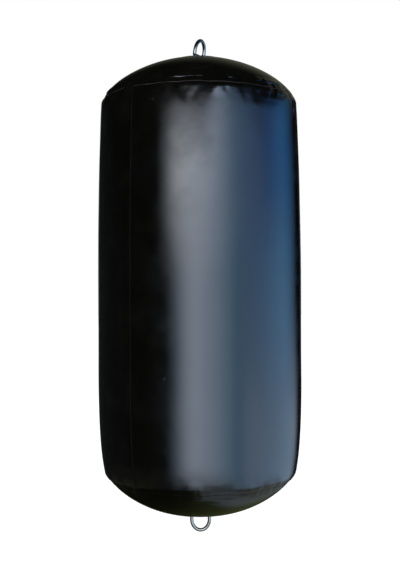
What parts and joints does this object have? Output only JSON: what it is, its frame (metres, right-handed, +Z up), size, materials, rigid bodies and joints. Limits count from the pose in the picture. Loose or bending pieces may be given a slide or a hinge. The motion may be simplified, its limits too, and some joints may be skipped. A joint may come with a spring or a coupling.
{
  "type": "inflatable boat fender",
  "caption": "Inflatable boat fender: a long black cylinder of glossy coated fabric with domed ends, a strapped steel ring at each end and a screw-capped inflation valve.",
  "frame": {"origin": "the point inside the top ring's bow where a lanyard bears, which the fender hangs from", "axes": "+Z up along the fender's axis, -Y towards the front with the lengthwise seam at its left, +X to the right"},
  "size_m": [0.4572, 0.4571, 1.1136],
  "materials": {
    "coated_fabric": "gloss",
    "uncoated_backing": "matte",
    "webbing": "woven",
    "stainless_steel": "polished",
    "moulded_vinyl": "satin",
    "black_plastic": "satin",
    "pale_plastic": "matte",
    "seal_rubber": "matte",
    "spring_steel": "drawn wire"
  },
  "bodies": {
    "chamber": {"side_wall": "coated_fabric", "top_end_panel": "coated_fabric", "bottom_end_panel": "coated_fabric", "top_ring_patch": "coated_fabric", "bottom_ring_patch": "coated_fabric", "top_ring_strap": "webbing", "bottom_ring_strap": "webbing", "top_doubler": "uncoated_backing", "bottom_doubler": "uncoated_backing", "valve_boot": "moulded_vinyl", "valve_body": "black_plastic", "valve_gasket": "seal_rubber", "valve_nut": "black_plastic", "stem_guide": "pale_plastic", "poppet_spring": "spring_steel"},
    "top_ring": {"top_ring": "stainless_steel"},
    "bottom_ring": {"bottom_ring": "stainless_steel"},
    "leash": {"cap_leash": "moulded_vinyl"},
    "cap": {"valve_cap": "black_plastic", "cap_seal": "seal_rubber"},
    "poppet": {"valve_poppet": "pale_plastic", "poppet_seal": "seal_rubber", "poppet_button": "black_plastic"}
  },
  "joints": [
    {"name": "top_ring_swing", "type": "hinge", "parent": "chamber", "child": "top_ring", "pos_m": [-0.00549, 0.00317, -0.03259], "axis": [0.5, 0.866, 0], "range_deg": [-99, 77]},
    {"name": "bottom_ring_swing", "type": "hinge", "parent": "chamber", "child": "bottom_ring", "pos_m": [-0.00549, 0.00317, -1.06559], "axis": [1, 0, 0], "range_deg": [-88, 88]},
    {"name": "cap_lift", "type": "slide", "parent": "chamber", "child": "leash", "axis": [0, 0.3417, 0.9398], "range_m": [0, 0.006]},
    {"name": "cap_turn", "type": "hinge", "parent": "leash", "child": "cap", "pos_m": [-0.00549, 0.11317, -0.05916], "axis": [0, 0.3417, 0.9398], "range_deg": [0, 540]},
    {"name": "poppet_push", "type": "slide", "parent": "chamber", "child": "poppet", "axis": [0, -0.3417, -0.9398], "range_m": [0, 0.005], "stiffness_N_per_m": 600, "springref_m": -0.003, "deforming": ["poppet_spring"]}
  ],
  "couplings": [
    {"joint": "cap_lift", "follows": "cap_turn", "m_per_rad": 0.0006366}
  ]
}
